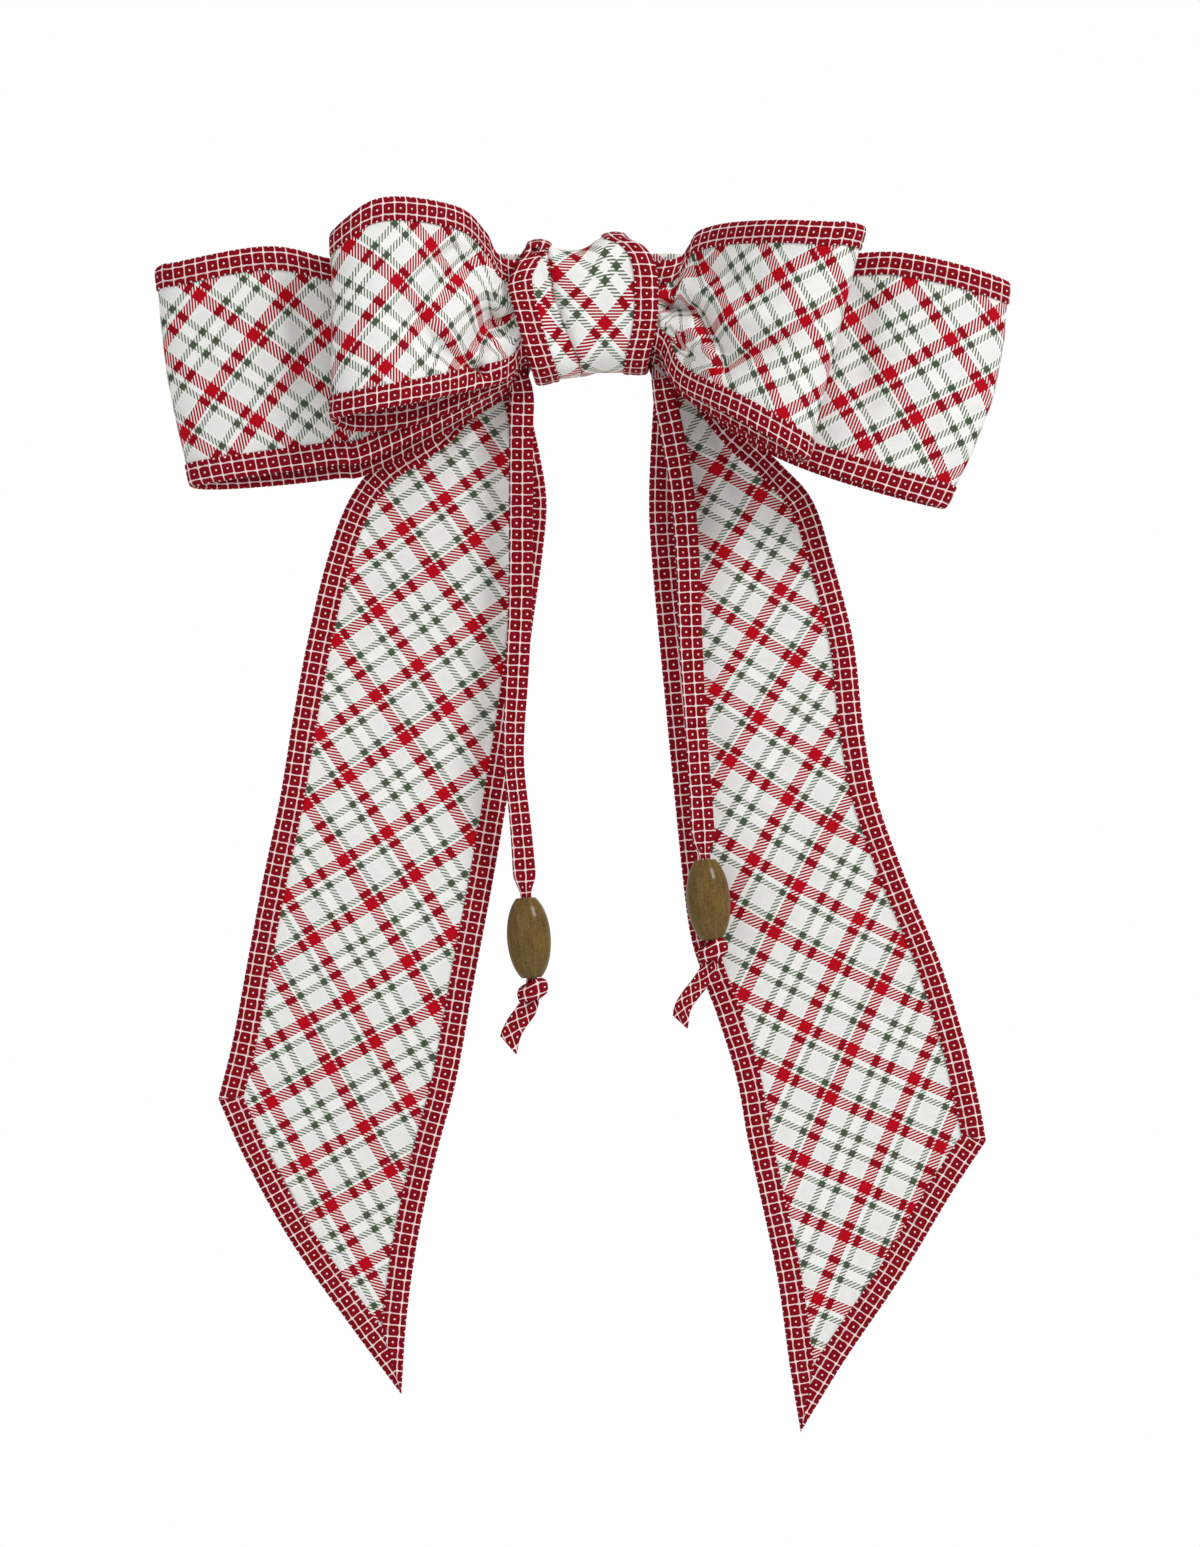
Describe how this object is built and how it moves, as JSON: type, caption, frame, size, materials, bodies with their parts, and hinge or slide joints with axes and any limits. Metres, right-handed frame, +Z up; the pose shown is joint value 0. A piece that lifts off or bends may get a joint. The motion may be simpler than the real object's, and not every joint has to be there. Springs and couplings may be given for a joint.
{
  "type": "hair bow barrette",
  "caption": "Plaid cotton hair bow with bound loops, pointed tails and beaded ties on a French barrette.",
  "frame": {"origin": "middle of the barrette's closed hair gap, behind the knot", "axes": "+Z up, towards the tops of the loops; -Y out of the bow's front; +X to the viewer's right, along the barrette"},
  "size_m": [0.2136, 0.0501, 0.308],
  "materials": {
    "plaid_cloth": "cream cotton with a printed red and green plaid, cut on the bias",
    "binding": "crimson printed bias binding with a topstitch",
    "tie": "folded and stitched crimson bias tape",
    "bead_wood": "glossy lacquered olive brown wood",
    "barrette_steel": "nickel plated spring steel",
    "thread": "crimson sewing thread"
  },
  "bodies": {
    "bow": {"outer_loop_left": "plaid_cloth", "outer_loop_right": "plaid_cloth", "inner_loop_left": "plaid_cloth", "inner_loop_right": "plaid_cloth", "tail_fold": "plaid_cloth", "knot_wrap": "plaid_cloth", "backing_band": "plaid_cloth", "outer_loop_left_binding_top": "binding", "outer_loop_left_binding_bottom": "binding", "outer_loop_right_binding_top": "binding", "outer_loop_right_binding_bottom": "binding", "inner_loop_left_binding_top": "binding", "inner_loop_left_binding_bottom": "binding", "inner_loop_right_binding_top": "binding", "inner_loop_right_binding_bottom": "binding", "knot_wrap_binding_left": "binding", "knot_wrap_binding_right": "binding", "barrette_base": "barrette_steel", "barrette_pin": "barrette_steel", "catch_plate": "barrette_steel", "catch_rivet": "barrette_steel", "barrette_stitches": "thread"},
    "clasp": {"clasp_arm": "barrette_steel"},
    "tension": {"tension_bar": "barrette_steel"},
    "prong_upper": {"catch_prong_upper": "barrette_steel"},
    "prong_lower": {"catch_prong_lower": "barrette_steel"},
    "tail_l": {"tail_left": "plaid_cloth", "tail_left_binding": "binding"},
    "tail_r": {"tail_right": "plaid_cloth", "tail_right_binding": "binding"},
    "tie_l": {"tie_left": "tie", "tie_left_knot": "tie"},
    "tie_r": {"tie_right": "tie", "tie_right_knot": "tie"},
    "bead_l": {"bead_left": "bead_wood"},
    "bead_r": {"bead_right": "bead_wood"}
  },
  "joints": [
    {"name": "clasp_hinge", "type": "hinge", "parent": "bow", "child": "clasp", "pos_m": [-0.038, 0.0016, 0], "axis": [0, 0, 1], "range_deg": [0, 100]},
    {"name": "tension_hinge", "type": "hinge", "parent": "bow", "child": "tension", "pos_m": [-0.038, 0.0016, 0], "axis": [0, 0, 1], "range_deg": [0, 25]},
    {"name": "prong_upper_squeeze", "type": "slide", "parent": "bow", "child": "prong_upper", "axis": [0, 0, -1], "range_m": [0, 0.0008], "stiffness_N_per_m": 600},
    {"name": "prong_lower_squeeze", "type": "slide", "parent": "bow", "child": "prong_lower", "axis": [0, 0, 1], "range_m": [0, 0.0008], "stiffness_N_per_m": 600},
    {"name": "tail_left_swing", "type": "hinge", "parent": "bow", "child": "tail_l", "pos_m": [-0.024, -0.0112, -0.0205], "axis": [1, 0, 0], "range_deg": [0, 45]},
    {"name": "tail_right_swing", "type": "hinge", "parent": "bow", "child": "tail_r", "pos_m": [0.024, -0.0112, -0.0205], "axis": [1, 0, 0], "range_deg": [0, 45]},
    {"name": "tie_left_swing", "type": "hinge", "parent": "bow", "child": "tie_l", "pos_m": [-0.017, -0.0185, -0.0205], "axis": [-1, 0, 0], "range_deg": [0, 50]},
    {"name": "tie_right_swing", "type": "hinge", "parent": "bow", "child": "tie_r", "pos_m": [0.0186, -0.0185, -0.0225], "axis": [-1, 0, 0], "range_deg": [0, 50]},
    {"name": "bead_left_slide", "type": "slide", "parent": "tie_l", "child": "bead_l", "axis": [-0.0712, 0, 0.9975], "range_m": [0, 0.012]},
    {"name": "bead_right_slide", "type": "slide", "parent": "tie_r", "child": "bead_r", "axis": [-0.0851, 0, 0.9964], "range_m": [0, 0.012]}
  ],
  "couplings": [
    {"joint": "tension_hinge", "follows": "clasp_hinge", "ratio": 0.25},
    {"joint": "prong_lower_squeeze", "follows": "prong_upper_squeeze", "ratio": 1}
  ]
}
